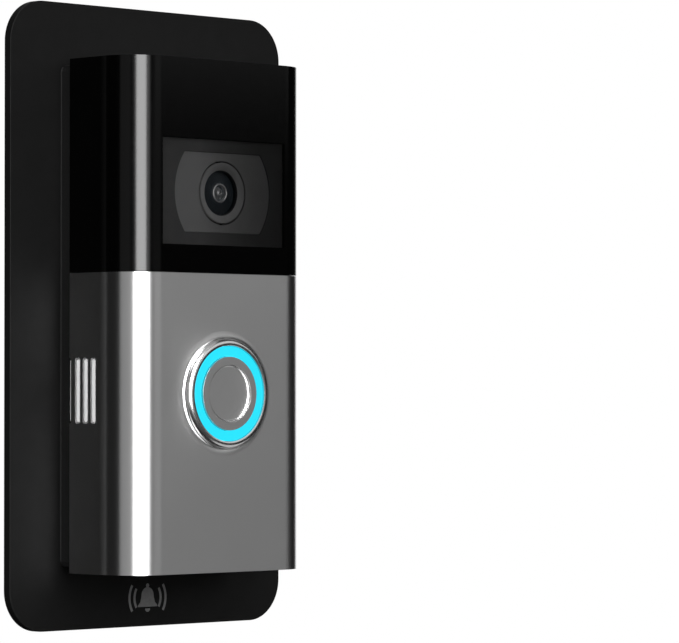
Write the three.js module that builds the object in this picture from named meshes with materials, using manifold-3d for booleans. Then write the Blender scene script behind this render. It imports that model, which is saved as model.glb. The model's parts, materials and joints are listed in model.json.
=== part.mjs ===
// A battery video doorbell on its mounting plate, in millimetres.
//
// Everything is drawn in the wall's own frame: X to the right as a visitor sees it, Y up the wall,
// Z straight out of the wall, with the origin at the centre of the plate's back face. The exported
// group turns that frame upright, so in the finished part +Z is up and the front faces -Y.
import * as THREE from "three";
import { mergeVertices } from "three/addons/utils/BufferGeometryUtils.js";
import Module from "manifold-3d";

const wasm = await Module();
wasm.setup();

// ---------------------------------------------------------------- driving dimensions
const PLATE = { width: 92.5, height: 157, thickness: 2.4, corner: 10.5, easedEdge: 0.4 };
const CUTOUT = { endHalf: 24.9, neckHalf: 18.5, top: 47.7, bottom: -47.1, shoulder: 36.8, corner: 2.5 };
const PLATE_SLOT = { x: 26.6, width: 4.5, length: 10.6 };

const BODY = { width: 62, height: 128, corner: 10, front: 30.4 }; // both outer shells together
const SHELL = { wall: 1.4, endWall: 1.6, back: 7.1 }; // "back" is where the side walls end
const SPLIT = { y: 10.7, gap: 0.2 }; // the joint between the camera cover and the faceplate
const SKIRT = { width: 60.4, height: 125.8, corner: 1.6, back: 3.3, front: 6.9 }; // rear housing, seen edge on
const REBATE = { width: 57.8, height: 122.8, corner: 1 }; // the housing's step inside the rubber seal
const SEAL = { width: 59.8, height: 125.2, innerWidth: 58.1, innerHeight: 123.1, back: 2.45, front: 3.2 };
const CORE_INSET = 2.1; // everything under the shells stays this far inside the outer surface
const CORE_END = 62; // half the height of the core

const MOUNT_SCREW = { x: 26.5, upper: 4.6, lower: -54.6, shank: 1.9, head: 2.8, headHeight: 2.2, tip: 0.3 };
const CHASSIS_SCREW = { x: 24.6, upper: 54, lower: -40, shank: 0.9, head: 1.9, headHeight: 1.4 };
const CHASSIS_SCREW_FIT = { seat: 22.8, length: 10.5, hole: 1 };
const SECURITY_SCREW = { z: 24.5, shank: 1.2, head: 2.4, headHeight: 0.9, length: 4.2, recess: 0.95 };

// depths of the layers, from the wall outwards
const HOUSING = { back: 2.7, floor: 4.7, rim: 19, cavity: [54.8, 121], corner: 1.5 };
const BOSS = { top: 14, radius: 3.1 }; // where the mounting screws' heads sit
const TRAY = { back: 19.2, front: 20.6, standoff: 1.6 };
const BOARD = { back: 21.4, front: 22.6 };
const CHASSIS = { back: 20.8, deck: 25.2, front: 27, wall: 1.5 };

const TERMINAL = { x: 6.5, y: 24, bore: 1.7, half: 4.5, back: 6.9, front: 8.3 };
const TERMINAL_SCREW = { shank: 1.5, head: 3, headHeight: 2.2, length: 5, seat: 6.75 };
const WIRE_POCKET = { half: 17, low: 14, high: 34.5, floor: 8.5, wall: 1.5 };
const BAY_RIB = { inner: 22.2, outer: 23.4, low: -60, high: 8.6, gapLow: -38, gapHigh: -6 };
const SPEAKER = { y: -18.5, z: 11.9, length: 17, depth: 12.6, inner: -22.8, outer: -27.2, corner: 1.5 };
const PEG = { x: 18, upper: 3, lower: -56, radius: 1.2, back: 25.6 }; // the faceplate's locating pegs

const BUTTON = { y: -19.35, top: 32.4, radius: 9.2, disc: 7.2, seat: 31.4, back: 29.3 };
const STEM = { radius: 1.9, back: 25.2 }; // presses the switch
const DISH = { depth: 0.34, edge: 0.3 }; // the disc's hollow, and its edge below the button's top
const LIGHT = { inner: 9.4, outer: 11.85, top: 32.1, back: 29.4 };
const BEAD = { inner: 12, centre: 12.65, radius: 1.2, level: 31.2, back: 28.4 }; // bright ring
const COLLAR = { inner: 13.95, outer: 15.9, rises: [[15.1, 0.06], [14.5, 0.21], [14.05, 0.5], [13.95, 0.62]] };
const BUTTON_BASE = { inner: 2.4, back: 27.15, front: 28.2 };
const LIGHT_BOARD = { inner: 9.6, outer: 11.8, back: 28.4, front: 29.2 };
const SPRING = { radius: 3.1, wire: 0.25, turns: 3, low: 28.35, high: 30.5 };

const CAMERA = { y: 30.85, window: [41.7, 26.36], windowBack: 29.75, ledge: 1.2, eye: 9.2 };
const LENS = { barrel: 7.7, barrelFront: 28.9, glass: 5.5, crown: 29.4, inner: 4.7 };
const LENS_RING = { inner: 5.7, outer: 7.6, back: 29.05, height: 0.6 };
const SHADE = { radius: 16.25, halfHeight: 9.95, back: 27.2, front: 29.55 };
const INFRARED = { x: 12.4, base: 1.9, dome: 1.5, hole: 2.1 };

// Upright speaker slots in the left wall; the last one is a notch in the wall's rear edge.
const SLOT = { width: 2, depths: [16, 13.1, 10.2, 6.75], low: -26.8, high: -10.5, ribGap: 0.35 };
const MESH = { low: -28, high: -9, front: 18.4, thickness: 0.4, sunk: 0.15, edgeGap: 0.15 };

const BATTERY = { half: 21.5, top: 3.4, bottom: -61.6, back: 5.2, front: 18.3, wall: 1, fit: 0.3 };
const CELL = { low: -50.5, high: 2, clear: 1.3 };
const END_CAP = { half: 22.5, low: -63.8, front: 19, plugTop: -51 };
const LATCH = { half: 6.2, low: -63.6, high: -52.2, back: 16.9, front: 18.2, clear: 0.4 };
const BAY_EXIT_HALF = 22.9;
const LIP = { half: 23.1, back: 19.6 }; // the faceplate's bottom wall is cut away to let the battery pass

const GAP = 0.15; // clearance between pieces that only rest against each other
const LARGE_ARC = 4; // an arc is drawn with twice this many segments in large outlines
const SMALL_ARC = 1; // and in small corners and slot ends
const WIDE = [-40, 40]; // wider than the doorbell
const TALL = [-70, 70]; // taller than it

// ---------------------------------------------------------------- materials
function finish(color, roughness, metalness = 0, extra = {}) {
  return new THREE.MeshStandardMaterial({ color, roughness, metalness, ...extra });
}

const MATERIALS = {
  plate: finish(0x232426, 0.5),
  housing: finish(0x1b1b1c, 0.55),
  chassis: finish(0x151516, 0.6),
  glossBlack: finish(0x040404, 0.08),
  smoked: finish(0x101012, 0.05, 0, { transparent: true, opacity: 0.5 }),
  shade: finish(0x2f2f30, 0.45),
  nickel: finish(0x8c8c8c, 0.3, 1),
  polished: finish(0xd8d8d8, 0.12, 1),
  light: finish(0x2eecff, 0.35, 0, { emissive: 0x2eecff }),
  rubber: finish(0x0b0b0b, 0.9),
  mesh: finish(0xd4d4d4, 0.7),
  board: finish(0x12402a, 0.45),
  can: finish(0xb4b6b8, 0.35, 1),
  brass: finish(0xc9a24a, 0.3, 1),
  steel: finish(0x8f9194, 0.35, 1),
  glass: finish(0x0c1420, 0.03, 0, { transparent: true, opacity: 0.6 }),
  chip: finish(0x0d0d0e, 0.5),
  cell: finish(0x2f6fae, 0.4),
  orange: finish(0xd9661f, 0.5),
};

// ---------------------------------------------------------------- making and joining solids
function solid(geometry) {
  const bare = geometry.clone();
  bare.deleteAttribute("normal");
  bare.deleteAttribute("uv");
  const merged = mergeVertices(bare, 1e-4);
  return new wasm.Manifold(
    new wasm.Mesh({
      numProp: 3,
      vertProperties: new Float32Array(merged.attributes.position.array),
      triVerts: new Uint32Array(merged.index.array),
    }),
  );
}

function geometryOf(shape) {
  const mesh = shape.getMesh();
  const geometry = new THREE.BufferGeometry();
  geometry.setAttribute("position", new THREE.BufferAttribute(mesh.vertProperties, 3));
  geometry.setIndex(new THREE.BufferAttribute(mesh.triVerts, 1));
  geometry.computeVertexNormals();
  return geometry;
}

function piece(name, shape, material, position = [0, 0, 0]) {
  const mesh = new THREE.Mesh(geometryOf(shape), material);
  mesh.name = name;
  mesh.position.set(...position);
  return mesh;
}

function joined(...shapes) {
  return shapes.reduce((whole, next) => whole.add(next));
}

// A box from its low corner to its high corner.
function block([x0, x1], [y0, y1], [z0, z1]) {
  const box = new THREE.BoxGeometry(x1 - x0, y1 - y0, z1 - z0);
  box.translate((x0 + x1) / 2, (y0 + y1) / 2, (z0 + z1) / 2);
  return solid(box);
}

// A flat outline pushed out of the wall from depth z0 to depth z1.
function prism(shape, z0, z1, curveSegments = SMALL_ARC) {
  const geometry = new THREE.ExtrudeGeometry(shape, { depth: z1 - z0, bevelEnabled: false, curveSegments });
  geometry.translate(0, 0, z0);
  return solid(geometry);
}

// An outline drawn in plan, as (x, -depth), raised from height y0 to height y1.
function upright(shape, y0, y1) {
  const geometry = new THREE.ExtrudeGeometry(shape, {
    depth: y1 - y0,
    bevelEnabled: false,
    curveSegments: LARGE_ARC,
  });
  geometry.rotateX(-Math.PI / 2);
  geometry.translate(0, y0, 0);
  return solid(geometry);
}

// A round piece about the Z axis from a profile of [radius, z] points that runs anticlockwise.
function turned(profile, segments = 24) {
  const points = profile.map(([radius, z]) => new THREE.Vector2(radius, z));
  const geometry = new THREE.LatheGeometry(points, segments);
  geometry.rotateX(Math.PI / 2);
  return solid(geometry);
}

function disc(radius, z0, z1, segments = 12) {
  return turned([[0, z0], [radius, z0], [radius, z1], [0, z1]], segments);
}

function ring(inner, outer, z0, z1, segments = 24) {
  return turned([[inner, z0], [outer, z0], [outer, z1], [inner, z1], [inner, z0]], segments);
}

// ---------------------------------------------------------------- outlines
function roundedRectangle(width, height, radius) {
  const x = width / 2;
  const y = height / 2;
  const shape = new THREE.Shape();
  shape.moveTo(-x + radius, -y);
  shape.lineTo(x - radius, -y);
  shape.absarc(x - radius, -y + radius, radius, -Math.PI / 2, 0);
  shape.absarc(x - radius, y - radius, radius, 0, Math.PI / 2);
  shape.absarc(-x + radius, y - radius, radius, Math.PI / 2, Math.PI);
  shape.absarc(-x + radius, -y + radius, radius, Math.PI, 1.5 * Math.PI);
  return shape;
}

// The doorbell in plan, from depth "back" to its round-cornered front, all of it "inset" inside
// the outer surface.
function plan(inset, back) {
  const half = BODY.width / 2 - inset;
  const front = BODY.front - inset;
  const radius = BODY.corner - inset;
  const shape = new THREE.Shape();
  shape.moveTo(-half, -back);
  shape.lineTo(half, -back);
  shape.absarc(half - radius, radius - front, radius, 0, -Math.PI / 2, true);
  shape.absarc(radius - half, radius - front, radius, -Math.PI / 2, -Math.PI, true);
  return shape;
}

// A polygon whose corners are all rounded to the same radius.
function roundedPolygon(corners, radius) {
  const points = corners.map(([x, y]) => new THREE.Vector2(x, y));
  const shape = new THREE.Shape();
  points.forEach((corner, i) => {
    const before = points[(i + points.length - 1) % points.length];
    const after = points[(i + 1) % points.length];
    const start = corner.clone().add(before.clone().sub(corner).setLength(radius));
    const end = corner.clone().add(after.clone().sub(corner).setLength(radius));
    if (i === 0) shape.moveTo(start.x, start.y);
    else shape.lineTo(start.x, start.y);
    shape.quadraticCurveTo(corner.x, corner.y, end.x, end.y);
  });
  return shape;
}

// An upright slot with round ends.
function slotOutline(width, length) {
  return roundedRectangle(width, length, width / 2 - 0.001);
}

// What the core may fill under the two shells.
const coreEnvelope = () => upright(plan(CORE_INSET, HOUSING.back), -CORE_END, CORE_END);

// The four corners of a screw pattern, as [side, end, x, y].
function corners({ x, upper, lower }) {
  return [
    ["left", "upper", -x, upper],
    ["right", "upper", x, upper],
    ["left", "lower", -x, lower],
    ["right", "lower", x, lower],
  ];
}

function atCorners(pattern, shape) {
  return joined(...corners(pattern).map(([, , x, y]) => shape.translate([x, y, 0])));
}

// ---------------------------------------------------------------- mounting plate
function cutoutOutline() {
  const { endHalf: e, neckHalf: n, top, bottom, shoulder, corner } = CUTOUT;
  return roundedPolygon(
    [
      [-e, top], [-e, shoulder], [-n, shoulder], [-n, -shoulder], [-e, -shoulder], [-e, bottom],
      [e, bottom], [e, -shoulder], [n, -shoulder], [n, shoulder], [e, shoulder], [e, top],
    ],
    corner,
  );
}

function mountingPlate() {
  const { width, height, thickness, corner, easedEdge } = PLATE;
  const slot = prism(slotOutline(PLATE_SLOT.width, PLATE_SLOT.length), -1, thickness + 1);
  const pattern = { ...MOUNT_SCREW, x: PLATE_SLOT.x };
  const blank = joined(
    prism(roundedRectangle(width, height, corner), 0, thickness - easedEdge, LARGE_ARC),
    prism(roundedRectangle(width - easedEdge, height - easedEdge, corner), 0.1, thickness, LARGE_ARC),
  );
  return blank
    .subtract(prism(cutoutOutline(), -1, thickness + 1))
    .subtract(atCorners(pattern, slot));
}

// ---------------------------------------------------------------- screws
// A pan-head screw along Z, with its head's underside at z = 0 and its tip at -length.
function screw({ shank, head, headHeight }, length) {
  const body = turned(
    [
      [0, -length], [shank * 0.4, -length], [shank, -length + shank], [shank, 0],
      [head, 0], [head, headHeight * 0.6], [head * 0.75, headHeight], [0, headHeight],
    ],
    10,
  );
  const socket = solid(new THREE.CylinderGeometry(head * 0.45, head * 0.45, headHeight, 6))
    .rotate([90, 0, 0])
    .translate([0, 0, headHeight]);
  return body.subtract(socket);
}

function mountingScrews() {
  const seat = BOSS.top + 0.1;
  const shape = screw(MOUNT_SCREW, seat - MOUNT_SCREW.tip);
  return corners(MOUNT_SCREW).map(([side, end, x, y]) =>
    piece(`mounting_screw_${end}_${side}`, shape, MATERIALS.steel, [x, y, seat]),
  );
}

function chassisScrews() {
  const { seat, length } = CHASSIS_SCREW_FIT;
  const shape = screw(CHASSIS_SCREW, length);
  return corners(CHASSIS_SCREW).map(([side, end, x, y]) =>
    piece(`chassis_screw_${end}_${side}`, shape, MATERIALS.steel, [x, y, seat]),
  );
}

// ---------------------------------------------------------------- rear housing
function rearHousingBlank() {
  const core = coreEnvelope().intersect(block(WIDE, TALL, [SKIRT.front - 0.1, HOUSING.rim]));
  const step = prism(
    roundedRectangle(REBATE.width, REBATE.height, REBATE.corner),
    HOUSING.back,
    SKIRT.back + 0.1,
  );
  const skirt = prism(
    roundedRectangle(SKIRT.width, SKIRT.height, SKIRT.corner),
    SKIRT.back,
    SKIRT.front,
  );
  return joined(step, skirt, core);
}

// Walls round the battery bay, the wire pocket's box and the screw bosses, all standing on the floor.
function rearHousingRibs() {
  const root = HOUSING.floor - 0.1;
  const tip = HOUSING.rim - 0.1;
  const { half, low, high, floor, wall } = WIRE_POCKET;
  const { inner, outer, low: ribLow, high: ribHigh, gapLow, gapHigh } = BAY_RIB;
  const ribs = [
    block([inner, outer], [ribLow, ribHigh], [root, tip]),
    block([-outer, -inner], [ribLow, gapLow], [root, tip]),
    block([-outer, -inner], [gapHigh, ribHigh], [root, tip]),
    block([-outer, outer], [ribHigh - 0.1, ribHigh + 1.1], [root, tip]),
    block([-half - wall, half + wall], [low - wall, high + wall], [root, floor + wall]),
    atCorners(MOUNT_SCREW, disc(BOSS.radius, root, BOSS.top)),
    atCorners(CHASSIS_SCREW, disc(2.3, root, tip)),
  ];
  return joined(...ribs);
}

function rearHousing() {
  const [cavityWidth, cavityHeight] = HOUSING.cavity;
  const cavity = prism(
    roundedRectangle(cavityWidth, cavityHeight, HOUSING.corner),
    HOUSING.floor,
    HOUSING.rim + 1,
  );
  const { half, low, high, floor } = WIRE_POCKET;
  const terminalBore = disc(TERMINAL.bore, floor - 1, floor + 3);
  const speakerPort = block([-30, -27.3], [-25.8, -11.2], [7.6, 16.4]);
  return rearHousingBlank()
    .subtract(cavity)
    .add(rearHousingRibs().intersect(rearHousingBlank()))
    .subtract(block([-half, half], [low, high], [0, floor]))
    .subtract(terminalBore.translate([-TERMINAL.x, TERMINAL.y, 0]))
    .subtract(terminalBore.translate([TERMINAL.x, TERMINAL.y, 0]))
    .subtract(atCorners(MOUNT_SCREW, disc(MOUNT_SCREW.shank + GAP, 0, HOUSING.rim)))
    .subtract(atCorners(MOUNT_SCREW, disc(BOSS.radius, BOSS.top, HOUSING.rim + 1)))
    .subtract(atCorners(CHASSIS_SCREW, disc(CHASSIS_SCREW_FIT.hole, 11, 30, 8)))
    .subtract(block([-BAY_EXIT_HALF, BAY_EXIT_HALF], [-65, -60], [HOUSING.floor, 30]))
    .subtract(speakerPort);
}

function rearSeal() {
  const { width, height, innerWidth, innerHeight, back, front } = SEAL;
  const hole = prism(roundedRectangle(innerWidth, innerHeight, 1.1), back - 1, front + 1);
  return prism(roundedRectangle(width, height, 1.5), back, front).subtract(hole);
}

function wiringTerminals() {
  const { half, back, front, bore } = TERMINAL;
  const plate = block([-half, half], [-half, half], [back, front]).subtract(disc(bore, back - 1, front + 1));
  const shape = screw(TERMINAL_SCREW, TERMINAL_SCREW.length);
  return [-1, 1].flatMap((side) => {
    const name = side < 0 ? "left" : "right";
    const place = [side * TERMINAL.x, TERMINAL.y, 0];
    const terminalScrew = piece(`terminal_screw_${name}`, shape, MATERIALS.steel);
    terminalScrew.position.set(place[0], place[1], TERMINAL_SCREW.seat);
    terminalScrew.rotation.y = Math.PI; // its head faces the wall
    return [piece(`terminal_plate_${name}`, plate, MATERIALS.brass, place), terminalScrew];
  });
}

// ---------------------------------------------------------------- speaker, beside the battery bay
function speaker() {
  const half = SPEAKER.length / 2;
  const deep = SPEAKER.depth / 2;
  const thick = SPEAKER.inner - SPEAKER.outer;
  // Drawn about the Z axis with its sound leaving along +Z, then turned to face the left side.
  const frame = prism(roundedRectangle(SPEAKER.depth, SPEAKER.length, SPEAKER.corner), 0, thick)
    .subtract(disc(4.7, -1, 2.3, 16))
    .subtract(disc(5.9, 2.2, thick + 1, 16))
    .subtract(block([-deep - 1, -deep + 0.8], [-half + 3, half - 3], [-1, thick - 1.5]));
  const cone = turned(
    [[0, 2.9], [2.2, 2.9], [5.6, 3.5], [5.6, 3.9], [2.4, 3.4], [0, 4.0]],
    16,
  );
  const magnet = disc(4.4, 0.1, 2.4, 16);
  const group = new THREE.Group();
  group.position.set(SPEAKER.inner, SPEAKER.y, SPEAKER.z);
  group.rotation.y = -Math.PI / 2;
  group.add(
    piece("speaker_frame", frame, MATERIALS.chassis),
    piece("speaker_cone", cone, MATERIALS.rubber),
    piece("speaker_magnet", magnet, MATERIALS.steel),
  );
  return group;
}

// ---------------------------------------------------------------- battery tray, boards and what they carry
function batteryTray() {
  const sheet = coreEnvelope().intersect(block(WIDE, TALL, [TRAY.back, TRAY.front]));
  const standoff = disc(TRAY.standoff, TRAY.front - 0.1, BOARD.back - GAP, 8);
  const standoffs = [-50, -2, 18, 48].flatMap((y) => [-18, 18].map((x) => standoff.translate([x, y, 0])));
  return joined(sheet, ...standoffs)
    .subtract(atCorners(MOUNT_SCREW, disc(3.3, TRAY.back - 1, TRAY.front + 1)))
    .subtract(atCorners(CHASSIS_SCREW, disc(CHASSIS_SCREW.shank + GAP, TRAY.back - 1, TRAY.front + 1, 8)))
    .subtract(block([-8, 8], [9.9, 11.9], [TRAY.back - 1, TRAY.front + 1])); // for the contacts' cable
}

function boardBlank(width, y0, y1) {
  return block([-width / 2, width / 2], [y0, y1], [BOARD.back, BOARD.front])
    .subtract(atCorners(MOUNT_SCREW, disc(3.6, 20, 24)))
    .subtract(atCorners(CHASSIS_SCREW, disc(2.9, 20, 24)));
}

function can(width, height, depth) {
  const lid = roundedRectangle(width, height, 0.8);
  const inside = roundedRectangle(width - 0.8, height - 0.8, 0.5);
  return prism(lid, 0, depth).subtract(prism(inside, -1, depth - 0.4));
}

function tactileSwitch() {
  return joined(
    block([-3, 3], [-3, 3], [0, 1]),
    turned([[0, 0.9], [1.6, 0.9], [1.6, 1.3], [1.2, 1.6], [0, 1.6]], 12),
  );
}

function boards() {
  const seat = BOARD.front + GAP;
  return [
    piece("battery_tray", batteryTray(), MATERIALS.chassis),
    piece("main_board", boardBlank(50, -58, 8), MATERIALS.board),
    piece("camera_board", boardBlank(42, 13, 56), MATERIALS.board),
    piece("processor_shield", can(18, 13, 1.8), MATERIALS.can, [-11, -44, seat]),
    piece("radio_shield", can(12, 10, 1.6), MATERIALS.can, [12.5, -45, seat]),
    piece("microphone", block([-1.9, 1.9], [-1.5, 1.5], [0, 1.1]), MATERIALS.can, [18, -33, seat]),
    piece("tactile_switch", tactileSwitch(), MATERIALS.chip, [0, BUTTON.y, seat]),
    piece("wifi_antenna", block([26.4, 27.2], [14, 49], [8, 16]), MATERIALS.orange),
  ];
}

function batteryContacts() {
  const pin = disc(0.6, 0, 1, 8).rotate([-90, 0, 0]);
  const pins = [-6, -2, 2, 6].map((x) => pin.translate([x, 3.95, 12]));
  return joined(block([-9, 9], [4.3, 8.2], [7, 17]), ...pins);
}

// ---------------------------------------------------------------- front chassis
function frontChassis() {
  const outside = coreEnvelope().intersect(block(WIDE, TALL, [CHASSIS.back, CHASSIS.front]));
  const { wall } = CHASSIS;
  const inside = upright(plan(CORE_INSET + wall, 0), -CORE_END + wall, CORE_END - wall).intersect(
    block(WIDE, TALL, [0, CHASSIS.deck]),
  );
  const columns = atCorners(CHASSIS_SCREW, disc(2.7, CHASSIS.back, CHASSIS.deck + 0.1));
  const screwHead = disc(CHASSIS_SCREW.head + GAP, CHASSIS.back + 1.8, 30);
  const { y, eye } = CAMERA;
  const cameraHole = block([-eye, eye], [y - eye, y + eye], [0, 30]);
  const ledHole = disc(INFRARED.hole, 0, 30);
  const securityNotch = block([-1.7, 1.7], [-70, -57.3], [22.8, 40]);
  return outside
    .subtract(inside)
    .add(columns.intersect(outside))
    .subtract(atCorners(MOUNT_SCREW, disc(3.3, 0, 40)))
    .subtract(atCorners(CHASSIS_SCREW, disc(CHASSIS_SCREW.shank + GAP, 0, 30, 8)))
    .subtract(atCorners(CHASSIS_SCREW, screwHead))
    .subtract(atCorners(PEG, disc(PEG.radius + 0.3, 0, 30, 10)))
    .subtract(disc(2.5, 0, 30).translate([0, BUTTON.y, 0]))
    .subtract(cameraHole)
    .subtract(ledHole.translate([-INFRARED.x, y, 0]))
    .subtract(ledHole.translate([INFRARED.x, y, 0]))
    .subtract(securityNotch);
}

// ---------------------------------------------------------------- camera
function lensHolder() {
  return block([-8.8, 8.8], [-8.8, 8.8], [22.75, 25.6])
    .subtract(block([-5, 5], [-5, 5], [22, 24]))
    .subtract(disc(6.4, 23.9, 27, 20));
}

function lensBarrel() {
  return turned(
    [
      [4.9, 24], [6.2, 24], [6.2, 25.8], [LENS.barrel, 25.8], [LENS.barrel, LENS.barrelFront],
      [5.7, LENS.barrelFront], [5.7, 26.1], [4.9, 26.1], [4.9, 24],
    ],
  );
}

// A lens of the given radius, flat behind and domed in front.
function lens(radius, back, edge, crown) {
  const steps = 4;
  const dome = [];
  for (let i = 0; i <= steps; i++) {
    const angle = (i / steps) * (Math.PI / 2);
    dome.push([radius * Math.cos(angle), edge + (crown - edge) * Math.sin(angle)]);
  }
  dome[steps][0] = 0;
  return turned([[0, back], [radius, back], ...dome]);
}

function lensRing() {
  const { inner, outer, back, height } = LENS_RING;
  const front = back + height;
  return turned([
    [inner, back], [outer, back], [outer, front - 0.15], [outer - 0.3, front], [outer - 0.7, front],
    [inner, back + 0.15], [inner, back],
  ]);
}

function lensShade() {
  const { radius, halfHeight, back, front } = SHADE;
  return disc(radius, back, front, 40)
    .intersect(block([-20, 20], [-halfHeight, halfHeight], [0, 40]))
    .subtract(disc(LENS.barrel + 0.25, 0, 40, 24));
}

function infraredLight() {
  const { base, dome } = INFRARED;
  return turned(
    [[0, 22.8], [base, 22.8], [base, 23.6], [dome, 23.7], [dome, 26], [1, 26.9], [0, 26.9]],
    10,
  );
}

function camera() {
  const group = new THREE.Group();
  group.position.y = CAMERA.y;
  const sensor = block([-4, 4], [-4, 4], [22.75, 23.7]);
  group.add(
    piece("image_sensor", sensor, MATERIALS.chip),
    piece("lens_holder", lensHolder(), MATERIALS.chassis),
    piece("lens_barrel", lensBarrel(), MATERIALS.glossBlack),
    piece("lens_inner_element", lens(LENS.inner, 24.3, 24.8, 26), MATERIALS.glass),
    piece("lens_front_element", lens(LENS.glass, 26.3, 27.3, LENS.crown), MATERIALS.glass),
    piece("lens_ring", lensRing(), MATERIALS.shade),
    piece("lens_shade", lensShade(), MATERIALS.shade),
    piece("infrared_light_left", infraredLight(), MATERIALS.smoked, [-INFRARED.x, 0, 0]),
    piece("infrared_light_right", infraredLight(), MATERIALS.smoked, [INFRARED.x, 0, 0]),
  );
  return group;
}

// ---------------------------------------------------------------- the two outer shells
function cameraWindow() {
  const [width, height] = CAMERA.window;
  return block(
    [-width / 2, width / 2],
    [-height / 2, height / 2],
    [CAMERA.windowBack, BODY.front - 0.05],
  );
}

function cameraCover() {
  const [width, height] = CAMERA.window;
  const bottom = SPLIT.y + SPLIT.gap / 2;
  const top = BODY.height / 2;
  const pocket = block(
    [-width / 2 - GAP, width / 2 + GAP],
    [CAMERA.y - height / 2 - GAP, CAMERA.y + height / 2 + GAP],
    [CAMERA.windowBack - 0.1, 40],
  );
  const { ledge } = CAMERA;
  const opening = block(
    [-width / 2 + ledge, width / 2 - ledge],
    [CAMERA.y - height / 2 + ledge, CAMERA.y + height / 2 - ledge],
    [20, 40],
  );
  const inner = upright(plan(SHELL.wall, 0), bottom - 1, top - SHELL.endWall);
  const foot = upright(plan(SHELL.wall - 0.1, 0), bottom, bottom + 1.4).intersect(
    block(WIDE, TALL, [CHASSIS.front + 0.3, 40]),
  );
  return upright(plan(0, SHELL.back), bottom, top)
    .subtract(inner)
    .add(foot)
    .subtract(pocket)
    .subtract(opening);
}

// The speaker slots through the left wall, from x0 to x1, each "clear" smaller all round.
function speakerSlots(x0, x1, clear) {
  const shape = slotOutline(SLOT.width - 2 * clear, SLOT.high - SLOT.low - 2 * clear);
  const middle = (SLOT.high + SLOT.low) / 2;
  const bar = prism(shape, 0, x1 - x0).rotate([0, 90, 0]);
  return SLOT.depths.map((depth) => bar.translate([x0, middle, depth]));
}

// The collar pressed out of the faceplate round the button.
function faceplateCollar() {
  const { inner, outer, rises } = COLLAR;
  const back = BODY.front - SHELL.wall;
  const slope = rises.map(([radius, rise]) => [radius, BODY.front + rise]);
  const profile = [[inner, back], [outer, back], [outer, BODY.front - 0.05], ...slope, [inner, back]];
  return turned(profile, 36).translate([0, BUTTON.y, 0]);
}

function faceplate() {
  const top = SPLIT.y - SPLIT.gap / 2;
  const bottom = -BODY.height / 2;
  const peg = disc(PEG.radius, PEG.back, BODY.front - 1, 8);
  const screwHole = disc(SECURITY_SCREW.shank + 0.2, -5, 5).rotate([90, 0, 0]);
  const headHole = disc(SECURITY_SCREW.head + 0.2, -0.1, 2).rotate([90, 0, 0]);
  return upright(plan(0, SHELL.back), bottom, top)
    .subtract(upright(plan(SHELL.wall, 0), bottom + SHELL.endWall, top + 1))
    .subtract(block([-LIP.half, LIP.half], [bottom - 1, bottom + 2], [0, LIP.back]))
    .subtract(disc(COLLAR.inner + 0.5, 20, 40, 36).translate([0, BUTTON.y, 0]))
    .add(faceplateCollar())
    .add(atCorners(PEG, peg))
    .subtract(joined(...speakerSlots(-33, -29, 0)))
    .subtract(screwHole.translate([0, bottom, SECURITY_SCREW.z]))
    .subtract(headHole.translate([0, bottom + 1, SECURITY_SCREW.z]));
}

// Acoustic mesh glued inside the faceplate, with a rib standing in each slot.
function speakerMesh() {
  const back = -BODY.width / 2 + SHELL.wall + 0.1;
  const face = -BODY.width / 2 + MESH.sunk;
  const rear = SHELL.back + MESH.edgeGap;
  const sheet = block([back, back + MESH.thickness], [MESH.low, MESH.high], [rear, MESH.front]);
  const behindEdge = block([-40, 0], [-40, 0], [0, rear]);
  return joined(sheet, ...speakerSlots(face, back + 0.1, SLOT.ribGap)).subtract(behindEdge);
}

// ---------------------------------------------------------------- button module
function buttonHousing() {
  return ring(BUTTON_BASE.inner, BEAD.centre, BUTTON_BASE.back, BUTTON_BASE.front);
}

// The bright ring round the light: its front is a round bead.
function buttonBezel() {
  const { inner, centre, radius, level, back } = BEAD;
  const end = Math.acos((inner - centre) / radius);
  const crown = [0, 0.25, 0.5, 0.75, 1].map((part) => {
    const angle = part * end;
    return [centre + radius * Math.cos(angle), level + radius * Math.sin(angle)];
  });
  return turned([[inner, back], [centre + radius, back], ...crown, [inner, back]], 36);
}

function lightRing() {
  return ring(LIGHT.inner, LIGHT.outer, LIGHT.back, LIGHT.top, 32);
}

function lightRingBoard() {
  return ring(LIGHT_BOARD.inner, LIGHT_BOARD.outer, LIGHT_BOARD.back, LIGHT_BOARD.front);
}

function buttonRim() {
  const { radius, disc: hollow, top, seat, back } = BUTTON;
  const web = 30.6; // underside of the button over the spring
  return turned(
    [
      [0, STEM.back], [STEM.radius, STEM.back], [STEM.radius, web], [8, web], [8, back], [radius, back],
      [radius, top], [hollow, top], [hollow, seat], [0, seat],
    ],
    32,
  );
}

// The disc in the button's middle, a shallow dish.
function buttonDisc() {
  const edge = BUTTON.disc - 0.1;
  const top = BUTTON.top - DISH.edge;
  const back = BUTTON.seat + 0.1;
  const floor = top - DISH.depth;
  return turned([[0, back], [edge, back], [edge, top], [edge - 0.6, floor + 0.02], [0, floor]], 32);
}

function buttonSpring() {
  const { radius, wire, turns } = SPRING;
  const low = SPRING.low + wire;
  const high = SPRING.high - wire;
  const points = [];
  const steps = 30;
  for (let i = 0; i <= steps; i++) {
    const angle = (i / steps) * turns * 2 * Math.PI;
    const z = low + ((high - low) * i) / steps;
    points.push(new THREE.Vector3(radius * Math.cos(angle), radius * Math.sin(angle), z));
  }
  const section = new THREE.Shape();
  section.absarc(0, 0, wire, 0, Math.PI);
  section.absarc(0, 0, wire, Math.PI, 2 * Math.PI);
  const geometry = new THREE.ExtrudeGeometry(section, {
    steps: 36,
    curveSegments: 1,
    bevelEnabled: false,
    extrudePath: new THREE.CatmullRomCurve3(points),
  });
  return solid(geometry);
}

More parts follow.
